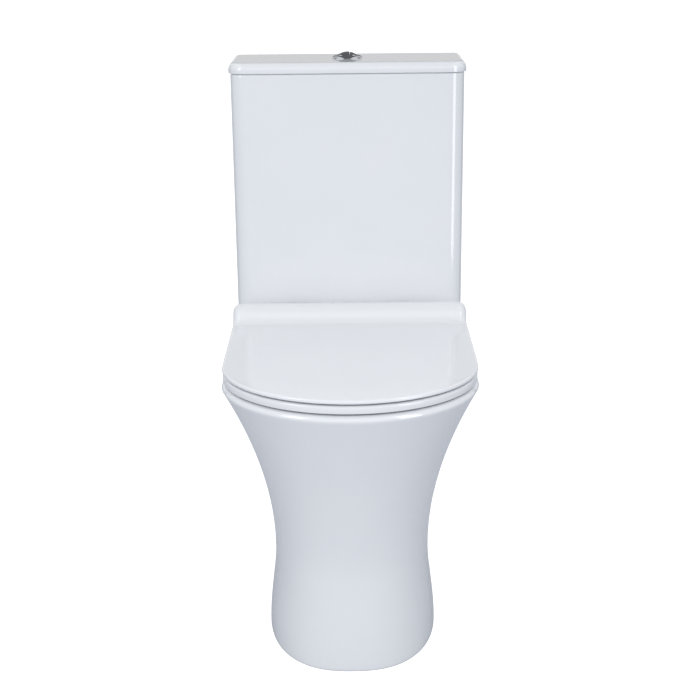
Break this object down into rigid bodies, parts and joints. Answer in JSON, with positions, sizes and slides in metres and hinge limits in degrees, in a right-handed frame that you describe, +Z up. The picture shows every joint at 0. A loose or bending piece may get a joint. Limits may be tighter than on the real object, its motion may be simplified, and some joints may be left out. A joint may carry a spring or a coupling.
{
  "type": "close coupled toilet",
  "caption": "Close coupled toilet: flared pedestal pan, bolted-on cistern with split flush button and lift-off lid, drop flush valve, float fill valve and soft-close seat with a wrap-over lid.",
  "frame": {"origin": "on the floor, midway between the sides and midway between the front lip and the wall", "axes": "+Z up; +Y from the front lip towards the wall; +X to the right seen from the front"},
  "size_m": [0.366, 0.616, 0.8315],
  "materials": {
    "china": "glossy white glaze",
    "seat_plastic": "gloss moulded white",
    "chrome": "polished plate",
    "steel": "zinc plated",
    "rubber": "matt black",
    "foam_rubber": "closed cell foam",
    "white_plastic": "satin moulded",
    "blue_plastic": "satin moulded"
  },
  "bodies": {
    "pan_and_cistern": {"pan": "china", "pan_bowl": "china", "pan_trap": "china", "flush_duct": "china", "cistern": "china", "coupling_plate": "steel", "coupling_bolts": "steel", "bolt_cone_washers": "rubber", "bolt_deck_washers": "rubber", "bolt_wing_nuts": "white_plastic", "doughnut_seal": "foam_rubber", "flush_valve_base": "white_plastic", "flush_valve_washer": "rubber", "flush_valve_backnut": "white_plastic", "flush_valve_tower": "white_plastic", "fill_valve_body": "white_plastic", "fill_valve_washer": "rubber", "fill_valve_backnut": "white_plastic", "fill_valve_cap": "white_plastic", "hinge_pillars": "chrome", "hinge_gaskets": "rubber", "hinge_washers": "rubber", "hinge_nuts": "white_plastic", "hinge_blocks": "white_plastic", "hinge_pins": "steel", "floor_brackets": "white_plastic", "side_screws": "steel", "screw_caps": "white_plastic"},
    "flush_plunger": {"overflow_tube": "blue_plastic", "flush_seal": "rubber", "valve_float": "white_plastic"},
    "full_pad": {"full_flush_pad": "blue_plastic"},
    "half_pad": {"half_flush_pad": "blue_plastic"},
    "float": {"float_cup": "blue_plastic", "float_link": "steel"},
    "lever": {"float_lever": "white_plastic"},
    "top_lid": {"cistern_lid": "china", "button_collar": "chrome", "collar_nut": "white_plastic", "full_flush_spring": "steel", "half_flush_spring": "steel"},
    "full_button": {"full_flush_button": "chrome", "full_flush_rod": "white_plastic"},
    "half_button": {"half_flush_button": "chrome", "half_flush_rod": "white_plastic"},
    "ring": {"seat_ring": "seat_plastic", "ring_buffers": "white_plastic", "seat_damper": "steel", "seat_hinge_bush": "white_plastic"},
    "lid": {"seat_lid": "seat_plastic", "lid_buffers": "white_plastic", "lid_damper": "steel", "lid_hinge_bush": "white_plastic"}
  },
  "joints": [
    {"name": "ring_hinge", "type": "hinge", "parent": "pan_and_cistern", "child": "ring", "pos_m": [0, 0.124, 0.4305], "axis": [-1, 0, 0], "range_deg": [0, 93]},
    {"name": "lid_hinge", "type": "hinge", "parent": "ring", "child": "lid", "pos_m": [0, 0.124, 0.4305], "axis": [1, 0, 0], "range_deg": [-93, 0]},
    {"name": "cistern_lid_lift", "type": "slide", "parent": "pan_and_cistern", "child": "top_lid", "axis": [0, 0, 1], "range_m": [0, 0.25]},
    {"name": "full_button_press", "type": "slide", "parent": "top_lid", "child": "full_button", "axis": [0, 0, -1], "range_m": [0, 0.007], "stiffness_N_per_m": 200, "springref_m": -0.01, "deforming": ["full_flush_spring"]},
    {"name": "half_button_press", "type": "slide", "parent": "top_lid", "child": "half_button", "axis": [0, 0, -1], "range_m": [0, 0.007], "stiffness_N_per_m": 200, "springref_m": -0.01, "deforming": ["half_flush_spring"]},
    {"name": "full_pad_press", "type": "slide", "parent": "pan_and_cistern", "child": "full_pad", "axis": [0, 0, -1], "range_m": [0, 0.007]},
    {"name": "half_pad_press", "type": "slide", "parent": "pan_and_cistern", "child": "half_pad", "axis": [0, 0, -1], "range_m": [0, 0.007]},
    {"name": "plunger_lift", "type": "slide", "parent": "pan_and_cistern", "child": "flush_plunger", "axis": [0, 0, 1], "range_m": [0, 0.021]},
    {"name": "float_rise", "type": "slide", "parent": "pan_and_cistern", "child": "float", "axis": [0, 0, 1], "range_m": [0, 0.02]},
    {"name": "lever_swing", "type": "hinge", "parent": "pan_and_cistern", "child": "lever", "pos_m": [-0.13, 0.2205, 0.7075], "axis": [-1, 0, 0], "range_deg": [0, 54.13]}
  ],
  "couplings": [
    {"joint": "full_pad_press", "follows": "full_button_press", "ratio": 1},
    {"joint": "half_pad_press", "follows": "half_button_press", "ratio": 1},
    {"joint": "plunger_lift", "follows": "full_button_press", "ratio": 3},
    {"joint": "lever_swing", "follows": "float_rise", "rad_per_m": 47.186}
  ]
}
